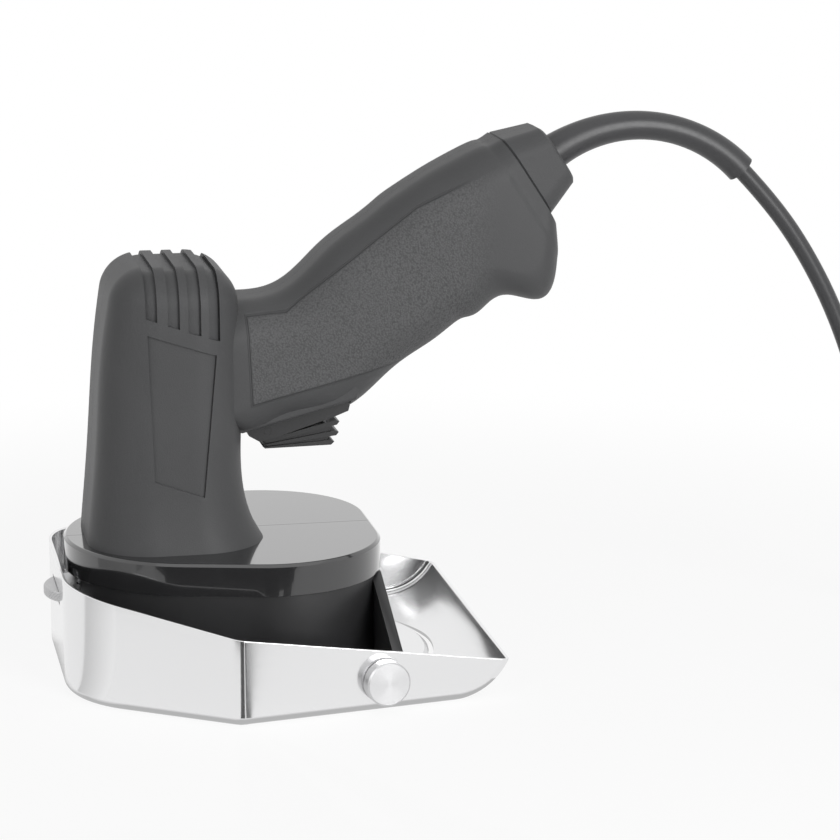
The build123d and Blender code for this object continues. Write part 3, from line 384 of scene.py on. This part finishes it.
def worked_finish(name, colour, roughness, metallic=0.0):
    """A plain finish with the small unevenness that making leaves in colour and polish."""
    finish = Finish(name, colour, roughness, metallic)
    mottle = finish.noise(MOTTLE_SCALE, MOTTLE_DETAIL)
    finish.set("Roughness", roughness - MOTTLE_ROUGH + 2 * MOTTLE_ROUGH * mottle)
    dark = [MOTTLE_DARK * c for c in colour]
    pale = [min(1.0, MOTTLE_PALE * c) for c in colour]
    finish.colours(mottle, dark, pale)
    return finish.material


CORD = worked_finish("cord", CORD_GREY, CORD_ROUGH)
BRIGHT = worked_finish("bright_steel", BRIGHT_STEEL, BRIGHT_ROUGH, 1.0)
BLACKENED = worked_finish("blackened_steel", BLACK_STEEL, BLACK_ROUGH)
print("worked finishes:", CORD.name, BRIGHT.name, BLACKENED.name)

# %% [markdown]
# ## Sheet steel
# The tray is pressed from polished stainless sheet with a faint rolling grain along it. A mirror
# would be too clean: noise stretched along the sheet makes the polish a little uneven, and slower
# noise stands for wiping.

# %% Sheet steel finish
STAINLESS_COLOUR = (0.8, 0.8, 0.805)
STAINLESS_ROUGH = 0.09
ROLLED_SCALE = 160.0
ROLLED_DETAIL = 4.0
ROLLED_STRETCH = (0.06, 0.3, 6.0)
ROLLED_ROUGH, ROLLED_BUMP = 0.07, (0.00001, 0.15)
SMEAR_SCALE = 25.0
SMEAR_ROUGH = 0.05


def stainless_finish():
    finish = Finish("stainless", STAINLESS_COLOUR, STAINLESS_ROUGH, 1.0)
    rolled = finish.noise(ROLLED_SCALE, ROLLED_DETAIL, ROLLED_STRETCH)
    smear = finish.noise(SMEAR_SCALE)
    finish.set("Roughness", STAINLESS_ROUGH + ROLLED_ROUGH * rolled + SMEAR_ROUGH * smear)
    finish.bump(rolled, *ROLLED_BUMP)
    return finish.material


STAINLESS = stainless_finish()
print("nodes in the sheet steel's finish:", len(STAINLESS.node_tree.nodes))

# %% [markdown]
# ## Turned steel
# The heads of the thumb screws and the depth wheel are faced on a lathe, which leaves fine rings
# round the axis. An anisotropic shader would show them too, but it needs tangents. A sine of the
# distance from the axis gives the rings themselves, and follows each piece's own axis.

# %% Turned steel finishes
SCREW_AXIS = Vector((12.3, 66.402, 9.9))
SCREW_ALONG = (0.986576, 0.163303)
WHEEL_AXIS_X = -71.0
RINGS_PER_MM = 2.6
RING_BUMP = (0.00005, 0.18)
TURNED_ROUGH, TURNED_SPREAD = 0.34, 0.08
TURNED_SCALE = 500.0
TURNED_COOL = 1.01
SCREW_STEEL, WHEEL_STEEL = 0.6, 0.5


def turned_finish(name, steel, across):
    """Lathe-faced steel; across gives the two distances from the axis."""
    finish = Finish(name, (steel, steel, steel * TURNED_COOL), TURNED_ROUGH, 1.0)
    first, second = across(*finish.axes())
    radius = (first * first + second * second).root()
    finish.bump((radius * (2 * math.pi * RINGS_PER_MM)).sine(), *RING_BUMP)
    finish.set("Roughness", TURNED_ROUGH + TURNED_SPREAD * finish.noise(TURNED_SCALE))
    return finish.material


def across_screw(x, y, z):
    """The two thumb screws mirror each other, so Y counts from the middle plane."""
    outward = abs(y) - SCREW_AXIS.y
    return (x - SCREW_AXIS.x) * SCREW_ALONG[0] - outward * SCREW_ALONG[1], z - SCREW_AXIS.z


def across_wheel(x, y, z):
    return x - WHEEL_AXIS_X, y


TURNED_SCREW = turned_finish("turned_screw", SCREW_STEEL, across_screw)
TURNED_WHEEL = turned_finish("turned_wheel", WHEEL_STEEL, across_wheel)
print("turned finishes:", TURNED_SCREW.name, TURNED_WHEEL.name)

# %% [markdown]
# ## A finish for every slot
# Each CAD node names a material slot in the record. The slots that are seen have a finish of their
# own; the pieces inside get a worked finish in the record's colour. Each could be set by hand, but
# a table also finishes pieces that are added later. The trigger's pin is blackened.

# %% Finish of every slot
METALS = ("brushed_steel", "chrome", "brass", "aluminium")
INNER_ROUGH = 0.4
slot_of_node = {part["node"]: part["material_slot"] for part in record["subparts"]}
finish_of_slot = {
    "housing": HOUSING,
    "case": GEAR_CASE,
    "case_satin": SATIN_BLACK,
    "stainless": STAINLESS,
    "turned_steel": TURNED_SCREW,
    "screw_steel": BRIGHT,
    "cord": CORD,
}
for entry in record["materials"]:
    slot = entry["slot"]
    if slot not in finish_of_slot:
        metallic = 1.0 if entry["class"] in METALS else 0.0
        finish_of_slot[slot] = worked_finish(slot, entry["base_color"], INNER_ROUGH, metallic)
for node, item in frame["nodes"].items():
    item.data.materials.clear()
    finish = BLACKENED if node == "trigger_pin" else finish_of_slot[slot_of_node[node]]
    item.data.materials.append(finish)
print("finishes:", len(finish_of_slot), "on nodes:", len(frame["nodes"]))

# %% [markdown]
# ## Smooth skins for the moulded and bent pieces
# The CAD meshes are loose triangles, which catch the light as facets. The pieces could be modelled
# again. A skin is simpler and true to the CAD: a copy with its triangles joined, shaded smooth, and
# left sharp only where the real piece has an edge.

# %% Skins
JOIN = 0.002 * MM
SHARP = math.radians(28)
FLAT = math.radians(0.5)
BEVEL_SEGMENTS = 3
body_of_node = {
    node: body for body, nodes in record["behaviour"]["bodies"].items() for node in nodes
}


def finish_piece(name, mesh, node, material=None):
    """Adds a piece in place of a node, with the finish of its slot, riding on the node's body."""
    slot = slot_of_node[node]
    item = bpy.data.objects.new(name, mesh)
    bpy.context.collection.objects.link(item)
    item.data.materials.append(material or finish_of_slot[slot])
    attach(item, body_of_node[node])
    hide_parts(node)
    return item


def round_edges(shape, size, chosen):
    """Rounds the sharp edges whose ends are both chosen."""
    bmesh.ops.dissolve_limit(shape, angle_limit=FLAT, verts=shape.verts, edges=shape.edges)
    keen = [e for e in shape.edges if e.is_manifold and e.calc_face_angle() > SHARP]
    keen = [e for e in keen if all(chosen(v.co / MM) for v in e.verts)]
    bmesh.ops.bevel(
        shape,
        geom=keen,
        offset=size * MM,
        offset_type="OFFSET",
        affect="EDGES",
        segments=BEVEL_SEGMENTS,
        profile=0.5,
        material=-1,
        clamp_overlap=True,
    )
    return len(keen)


def skin(node, material=None, round_off=0.0, chosen=None):
    """A joined and smoothly shaded copy of a CAD node, its chosen sharp edges rounded off."""
    shape = bmesh.new()
    shape.from_mesh(frame["nodes"][node].data)
    bmesh.ops.remove_doubles(shape, verts=shape.verts, dist=JOIN)
    if round_off:
        print(node, "edges rounded:", round_edges(shape, round_off, chosen))
    for face in shape.faces:
        face.smooth = True
    for edge in shape.edges:
        edge.smooth = not (edge.is_manifold and edge.calc_face_angle() > SHARP)
    mesh = bpy.data.meshes.new(node + "_skin")
    shape.to_mesh(mesh)
    shape.free()
    item = finish_piece(node + "_skin", mesh, node, material)
    if round_off:
        weighted = item.modifiers.new("weighted normals", "WEIGHTED_NORMAL")
        weighted.keep_sharp = True


PLAIN_SKINS = ["housing_near", "housing_far", "rear_cap", "strain_relief", "blade", "blade_nut"]
PLAIN_SKINS += ["plug_body", "gear_case_body", "trigger_bezel", "trigger", "housing_screws"]
PLAIN_SKINS += ["clamp_nuts", "spindle_seal"]
for node in PLAIN_SKINS:
    skin(node)
print("plain skins:", len(PLAIN_SKINS))

# %% [markdown]
# ## Rounded rims
# The light runs along the tray's rim and the lid's edges as a thin bright line, because a real edge
# is never quite sharp. A Bevel modifier would round all edges alike. The edges are picked by place
# instead: those at the lid's two heights, and those on the slope that the tray's rim is cut to.

# %% Lid, tray and screws
NEAR = 0.02
LID_HEIGHTS = (33.1, 43.4)
LID_ROUND = 0.4
RIM_FRONT = (-82.0, 36.2)
RIM_REAR = (54.0, 11.8)
RIM_SLOPE = (RIM_REAR[1] - RIM_FRONT[1]) / (RIM_REAR[0] - RIM_FRONT[0])
RIM_ROUND = 0.3


def on_lid_edge(place):
    return min(abs(place.z - height) for height in LID_HEIGHTS) < NEAR


def on_tray_rim(place):
    return abs(place.z - on_line(place.x, (RIM_FRONT, RIM_SLOPE))) < NEAR


skin("gear_case_lid", None, LID_ROUND, on_lid_edge)
skin("tray", None, RIM_ROUND, on_tray_rim)
for node in ("side_screw_near", "side_screw_far"):
    skin(node, TURNED_SCREW)
print("rim's slope in degrees:", round(math.degrees(math.atan(RIM_SLOPE)), 1))

# %% [markdown]
# ## The knurled wheel
# The wheel at the tray's nose sets how far the tray stands from the blade. Its rim is knurled so
# that a greasy thumb can turn it. A bump would leave its outline smooth, so the knurl is real: the
# half section is spun round the stud, and every second vertex of the rim is then drawn in, which
# leaves rows of small diamonds as a knurling tool does.

# %% Wheel section
KNURL_STEPS = 132
KNURL_ROWS = 4
KNURL_DEPTH = 0.28 * MM
RIM_CHAMFER = 0.4 * MM
ROOM = 0.01 * MM
BORE_RADIUS = 4.3 * MM
wheel_low, wheel_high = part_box("depth_wheel")
wheel_x = (wheel_low.x + wheel_high.x) / 2
wheel_radius = (wheel_high.y - wheel_low.y) / 2 - ROOM
rim_low = wheel_low.z + RIM_CHAMFER
rim_high = wheel_high.z - RIM_CHAMFER

section = [(BORE_RADIUS, wheel_low.z), (wheel_radius - RIM_CHAMFER, wheel_low.z)]
for row in range(KNURL_ROWS + 1):
    section.append((wheel_radius, rim_low + (rim_high - rim_low) * row / KNURL_ROWS))
section += [(wheel_radius - RIM_CHAMFER, wheel_high.z), (BORE_RADIUS, wheel_high.z)]
print("wheel's radius in mm:", round(wheel_radius / MM, 2), "corners:", len(section))

# %% Spin and knurl
wheel = bmesh.new()
corners = [wheel.verts.new((wheel_x + r, 0.0, z)) for r, z in section]
edges = [wheel.edges.new((a, b)) for a, b in zip(corners, corners[1:] + corners[:1])]
bmesh.ops.spin(
    wheel,
    geom=corners + edges,
    cent=(wheel_x, 0.0, 0.0),
    axis=(0.0, 0.0, 1.0),
    dvec=(0.0, 0.0, 0.0),
    angle=2 * math.pi,
    steps=KNURL_STEPS,
    use_merge=True,
    use_duplicate=False,
)
bmesh.ops.remove_doubles(wheel, verts=wheel.verts, dist=JOIN)
bmesh.ops.recalc_face_normals(wheel, faces=wheel.faces)
for vert in wheel.verts:
    arm = Vector((vert.co.x - wheel_x, vert.co.y, 0.0))
    if abs(arm.length - wheel_radius) < ROOM:
        step = round(math.atan2(arm.y, arm.x) / (2 * math.pi) * KNURL_STEPS)
        row = round((vert.co.z - rim_low) / (rim_high - rim_low) * KNURL_ROWS)
        if (step + row) % 2:
            vert.co -= arm.normalized() * KNURL_DEPTH
for face in wheel.faces:
    face.smooth = False
wheel_mesh = bpy.data.meshes.new("depth_wheel_knurled")
wheel.to_mesh(wheel_mesh)
wheel.free()
finish_piece("depth_wheel_knurled", wheel_mesh, "depth_wheel", TURNED_WHEEL)
print("wheel faces:", len(wheel_mesh.polygons))

# %% [markdown]
# ## The cord
# About two metres of lead leave the relief, fall beside the knife and lie in a tied coil. The
# hanging length could be simulated, but then it would not lie where the CAD has it. It is walked
# instead, in short lengths that each have their own angle, from the end of the relief's bend.

# %% Cord route
CORD_R = 2.9
LEAD_STEPS = [
    (13.5, -46.0),
    (20.0, -53.0),
    (24.0, -61.0),
    (26.0, -69.0),
    (27.706, -77.0),
    (22.0, -80.0),
    (18.0, -60.0),
    (18.0, -38.0),
    (18.0, -16.0),
    (15.0, 0.0),
]
GRIP_ROOT = (-16.6, 99.2)
GRIP_LENGTH = 116.0
GRIP_ANGLE = math.radians(33.0)
RELIEF_BEND_R = 50.0
RELIEF_SWEEP = math.radians(79.0)
bend_x = GRIP_ROOT[0] + GRIP_LENGTH * math.cos(GRIP_ANGLE) + RELIEF_BEND_R * math.sin(GRIP_ANGLE)
bend_z = GRIP_ROOT[1] + GRIP_LENGTH * math.sin(GRIP_ANGLE) - RELIEF_BEND_R * math.cos(GRIP_ANGLE)
exit_angle = GRIP_ANGLE - RELIEF_SWEEP
exit_x = bend_x - RELIEF_BEND_R * math.sin(exit_angle)
exit_z = bend_z + RELIEF_BEND_R * math.cos(exit_angle)
route = [(exit_x, 0.0, exit_z)]
for length, angle in LEAD_STEPS:
    x, y, z = route[-1]
    turn = math.radians(angle)
    route.append((x + length * math.cos(turn), y, z + length * math.sin(turn)))
print("points down to the floor:", len(route))

# %% [markdown]
# ## Coil and tail
# The rest of the lead is wound as a new one is: inwards on the floor, up, and outwards in a second
# layer, with the plug at the end of a short tail. A stack of rings would leave cut ends, so the
# coil goes on from the lead as one spiral whose radius falls to the middle and grows again.

# %% Coil and tail
COIL_INNER_R = 23.2
COIL_TURNS = 7.5
COIL_PITCH = 6.4
COIL_LOW_Z = 3.95
COIL_HIGH_Z = COIL_LOW_Z + COIL_PITCH
CLIMB_TURNS = 0.5
POINTS_A_TURN = 16
PLUG_Z = 7.0
TAIL_STEPS = ((12.0, COIL_HIGH_Z), (28.0, PLUG_Z), (40.0, PLUG_Z))
coil_x = route[-1][0]
coil_outer = COIL_INNER_R + COIL_PITCH * COIL_TURNS / 2
coil_y = -coil_outer
half_climb = CLIMB_TURNS / 2
for index in range(1, int(COIL_TURNS * POINTS_A_TURN) + 1):
    turns = index / POINTS_A_TURN
    past_middle = turns - COIL_TURNS / 2
    inward = abs(past_middle)
    if inward < half_climb:
        inward = half_climb / 2 + past_middle**2 / CLIMB_TURNS
    climb = min(max((past_middle + half_climb) / CLIMB_TURNS, 0.0), 1.0)
    height = COIL_LOW_Z + COIL_PITCH * climb * climb * (3 - 2 * climb)
    radius = COIL_INNER_R + COIL_PITCH * inward
    angle = math.pi / 2 - 2 * math.pi * turns
    route.append((coil_x + radius * math.cos(angle), coil_y + radius * math.sin(angle), height))
for back, height in TAIL_STEPS:
    route.append((coil_x - back, coil_y - coil_outer, height))
print("coil across in mm:", round(2 * coil_outer, 1), "points in all:", len(route))

# %% [markdown]
# ## One curve for the lead
# Hanging length, coil and tail are one unbroken curve, as the cord is one piece. A Bezier spline
# would need handles at every point; a NURBS spline of order 3 rounds the corners of the route by
# itself.

# %% Cord curve
cord_curve = bpy.data.curves.new("cord", "CURVE")
cord_curve.dimensions = "3D"
cord_curve.bevel_depth = CORD_R * MM
cord_curve.bevel_resolution = 5
cord_curve.resolution_u = 6
cord_curve.use_fill_caps = True
spline = cord_curve.splines.new("NURBS")
spline.points.add(len(route) - 1)
for point, place in zip(spline.points, route):
    point.co = (*(Vector(place) * MM), 1.0)
spline.order_u = 3
spline.use_endpoint_u = True
cord = bpy.data.objects.new("cord", cord_curve)
bpy.context.collection.objects.link(cord)
cord.data.materials.append(CORD)
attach(cord, "housing")
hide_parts("cord_lead", "cord_coil", "cord_tail")

# %% [markdown]
# ## Floor
# The picture is a plain studio shot on white. A floor lit until it is white would burn out the
# steel. Instead the floor glows white to the camera and in reflections, and keeps a little of its
# own shading near the knife, so that a faint shadow stays under the tray.

# %% Floor
WHITE = (1.0, 1.0, 1.0, 1.0)
FLOOR_SIZE = 6.0
FLOOR_COLOUR = (0.9, 0.9, 0.9)
FLOOR_ROUGH = 0.8
FLOOR_GLOW = 0.86
FLOOR_NEAR = 150.0
FLOOR_FAR = 420.0


def seen_by_eye(tree):
    """1 for camera rays and for rays by reflection or through glass, 0 for light on things."""
    path = Field.node(tree, "ShaderNodeLightPath")
    rays = [Field(path.outputs[f"Is {kind} Ray"]) for kind in ("Camera", "Glossy", "Transmission")]
    return rays[0].most(rays[1]).most(rays[2])


def floor_finish():
    finish = Finish("floor", FLOOR_COLOUR, FLOOR_ROUGH)
    x, y, z = finish.axes()
    away = (x * x + y * y).fade(FLOOR_NEAR**2, FLOOR_FAR**2)
    glow = seen_by_eye(finish.tree) * (FLOOR_GLOW + (1.0 - FLOOR_GLOW) * away)
    white = finish.field("ShaderNodeEmission", "Emission", None, {"Color": WHITE})
    sockets = {"Fac": glow, 1: Field(finish.shader.outputs["BSDF"]), 2: white}
    blend = finish.field("ShaderNodeMixShader", "Shader", None, sockets)
    surface = next(n for n in finish.tree.nodes if n.type == "OUTPUT_MATERIAL")
    Field.feed(surface.inputs["Surface"], blend)
    return finish.material


floor_shape = bmesh.new()
bmesh.ops.create_grid(floor_shape, x_segments=1, y_segments=1, size=FLOOR_SIZE)
floor_mesh = bpy.data.meshes.new("floor")
floor_shape.to_mesh(floor_mesh)
floor_shape.free()
floor_mesh.materials.append(floor_finish())
floor = bpy.data.objects.new("floor", floor_mesh)
bpy.context.collection.objects.link(floor)
print("floor's width in m:", 2 * FLOOR_SIZE)

# %% [markdown]
# ## Sky
# The backdrop is treated in the same way: white to the camera and in reflections, and a dim, even
# light on the things themselves. A picture of a studio would light the knife too, but it would have
# to be read from a file.

# %% Sky
WORLD_LIGHT = 0.4
world = bpy.data.worlds.new("studio")
bpy.context.scene.world = world
world.use_nodes = True
backdrop = next(n for n in world.node_tree.nodes if n.type == "BACKGROUND")
sky_strength = WORLD_LIGHT + (1.0 - WORLD_LIGHT) * seen_by_eye(world.node_tree)
Field.feed(backdrop.inputs["Color"], WHITE)
Field.feed(backdrop.inputs["Strength"], sky_strength)
print("sky's light on things:", WORLD_LIGHT)

# %% [markdown]
# ## Lamps
# Large soft lamps, as a studio has, give the plastics their slow shading: the strongest stands to
# the front right, a weak one to the left fills the shadows and one hangs overhead. Small lamps
# would leave hard spots on the steel.

# %% Lamps
KNIFE = Vector((0.0, 0.0, 0.08))
SIDE_SIZE = (0.5, 0.9)
LAMPS = {
    "overhead": ((0.1, -0.1, 1.1), (1.0, 0.8), 0.8),
    "front_left": ((-0.9, -0.8, 0.7), SIDE_SIZE, 2.4),
    "front_right": ((0.5, -1.1, 0.45), SIDE_SIZE, 10.0),
}
for name, (place, size, power) in LAMPS.items():
    data = bpy.data.lights.new(name, "AREA")
    data.shape = "RECTANGLE"
    data.size, data.size_y = size
    data.energy = power
    item = bpy.data.objects.new(name, data)
    item.location = place
    item.rotation_euler = (KNIFE - Vector(place)).to_track_quat("-Z", "Y").to_euler()
    item.visible_camera = False
    bpy.context.collection.objects.link(item)
print("lamps in watts:", {name: lamp[2] for name, lamp in LAMPS.items()})

# %% [markdown]
# ## Cards: painted reflections
# Polished steel and black gloss only show what stands round them. Flat cards that glow with one
# tone are painted reflections: seen in reflections alone, they paint the steel's dark lines and
# grey bands. They could be lit like the rest, but a card that shows one flat tone is easier to
# match.

# %% Cards
CARD_HEIGHT = 0.3
HIDDEN_FROM = ("camera", "diffuse", "transmission", "volume_scatter", "shadow")


def painted_reflection_tone(tone):
    """A painted reflection: a flat glow that reflections see, whatever light falls on the card."""
    finish = Finish("painted_reflection_tone", (0.0, 0.0, 0.0), 1.0)
    finish.set("Specular IOR Level", 0.0)
    # the card glows with its tone: a painted reflection, not a lamp
    finish.set("Emission Color", (tone, tone, tone, 1.0))
    finish.set("Emission Strength", 1.0)
    return finish.material


def card(name, corners, tone, height=CARD_HEIGHT):
    """A flat glowing card just over the floor, seen only in reflections: a painted reflection."""
    shape = bmesh.new()
    shape.faces.new([shape.verts.new(Vector((x, y, height)) * MM) for x, y in corners])
    mesh = bpy.data.meshes.new(name)
    shape.to_mesh(mesh)
    shape.free()
    mesh.materials.append(painted_reflection_tone(tone))
    item = bpy.data.objects.new(name, mesh)
    for ray in HIDDEN_FROM:
        setattr(item, "visible_" + ray, False)
    bpy.context.collection.objects.link(item)


def wedge(name, tip, turns, reaches, tone):
    """A card between two directions, counted from the near side, and two distances from a point."""
    corners = []
    for turn, reach in ((0, 0), (0, 1), (1, 1), (1, 0)):
        angle = math.radians(turns[turn])
        out = reaches[reach]
        corners.append((tip[0] + out * math.sin(angle), tip[1] - out * math.cos(angle)))
    card(name, corners, tone)


WIDE_CORNER = (-33.0, -67.5)
# the last number of each card is the tone it paints into the reflections: near black gives dark
# lines, grey a grey band
WIDE_CARDS = {
    "card_corner_left": ((-8.0, 12.0), (1.0, 122.0), 0.1),
    "card_corner_right": ((17.5, 27.2), (1.0, 122.0), 0.16),
    "card_front_near": ((-50.0, 29.0), (122.0, 150.0), 0.02),
    "card_front": ((-58.0, 34.0), (150.0, 420.0), 0.02),
    "card_far_left": ((-110.0, -58.0), (172.0, 500.0), 0.55),
}
for name, (turns, reaches, tone) in WIDE_CARDS.items():
    wedge(name, WIDE_CORNER, turns, reaches, tone)
print("cards at the wide corner:", len(WIDE_CARDS))

# %% [markdown]
# ## A graded fan and a painted shadow at the foot
# Round its front corner the tray darkens slowly, and along its foot it shows a soft grey line. Both
# are painted: the fan is a painted reflection that darkens the corner, and the foot cards paint the
# floor's shadow round the tray into the steel. One card would end in a hard edge, so the fan is a
# row of thin glowing wedges from grey to nearly white, and the foot has three outlines of the tray,
# each darker and closer in than the one below.

# %% Fan and foot
FRONT_CORNER = (-62.0, -38.0)
FAN_STEPS = 9
FAN_TURNS = (-106.0, -62.0)
# painted reflection: the glowing tones of the fan, grey to nearly white, darken the tray's front
# corner
FAN_REFLECTION_TONES = (0.66, 0.98)
FAN_REACHES = (1.0, 190.0)
TRAY_CORNERS = ((-82.0, -23.0), (-78.0, -39.0), (-67.0, -51.0), (-33.5, -74.0), (54.0, -59.5))
TRAY_OUTWARD = ((-1.0, 0.0), (-0.88, -0.47), (-0.57, -0.83), (0.0, -1.1), (0.0, -1.0))
# painted shadow: each outline's glowing tone paints the floor's shade round the tray's foot into
# the steel
FOOT_SHADOW_ROOMS = ((5.0, 0.86), (3.2, 0.74), (1.8, 0.56))
FOOT_HEIGHT, FOOT_STEP = 0.4, 0.1


def between(ends, share):
    return ends[0] + (ends[1] - ends[0]) * share


def foot_outline(room):
    """The tray's outline, made larger by room all round."""
    pairs = zip(TRAY_CORNERS, TRAY_OUTWARD)
    near = [(x + room * out_x, y + room * out_y) for (x, y), (out_x, out_y) in pairs]
    return near + [(x, -y) for x, y in reversed(near)]


# the fan: glowing wedges, a painted reflection
for index in range(FAN_STEPS):
    turns = [between(FAN_TURNS, step / FAN_STEPS) for step in (index, index + 1)]
    tone = between(FAN_REFLECTION_TONES, index / (FAN_STEPS - 1))
    wedge(f"fan_reflection_card_{index}", FRONT_CORNER, turns, FAN_REACHES, tone)
# the foot: glowing outlines, a painted shadow seen only in reflections
for index, (room, tone) in enumerate(FOOT_SHADOW_ROOMS):
    card(f"foot_shadow_card_{index}", foot_outline(room), tone, FOOT_HEIGHT + FOOT_STEP * index)
print("cards in the fan:", FAN_STEPS, "at the foot:", len(FOOT_SHADOW_ROOMS))

# %% [markdown]
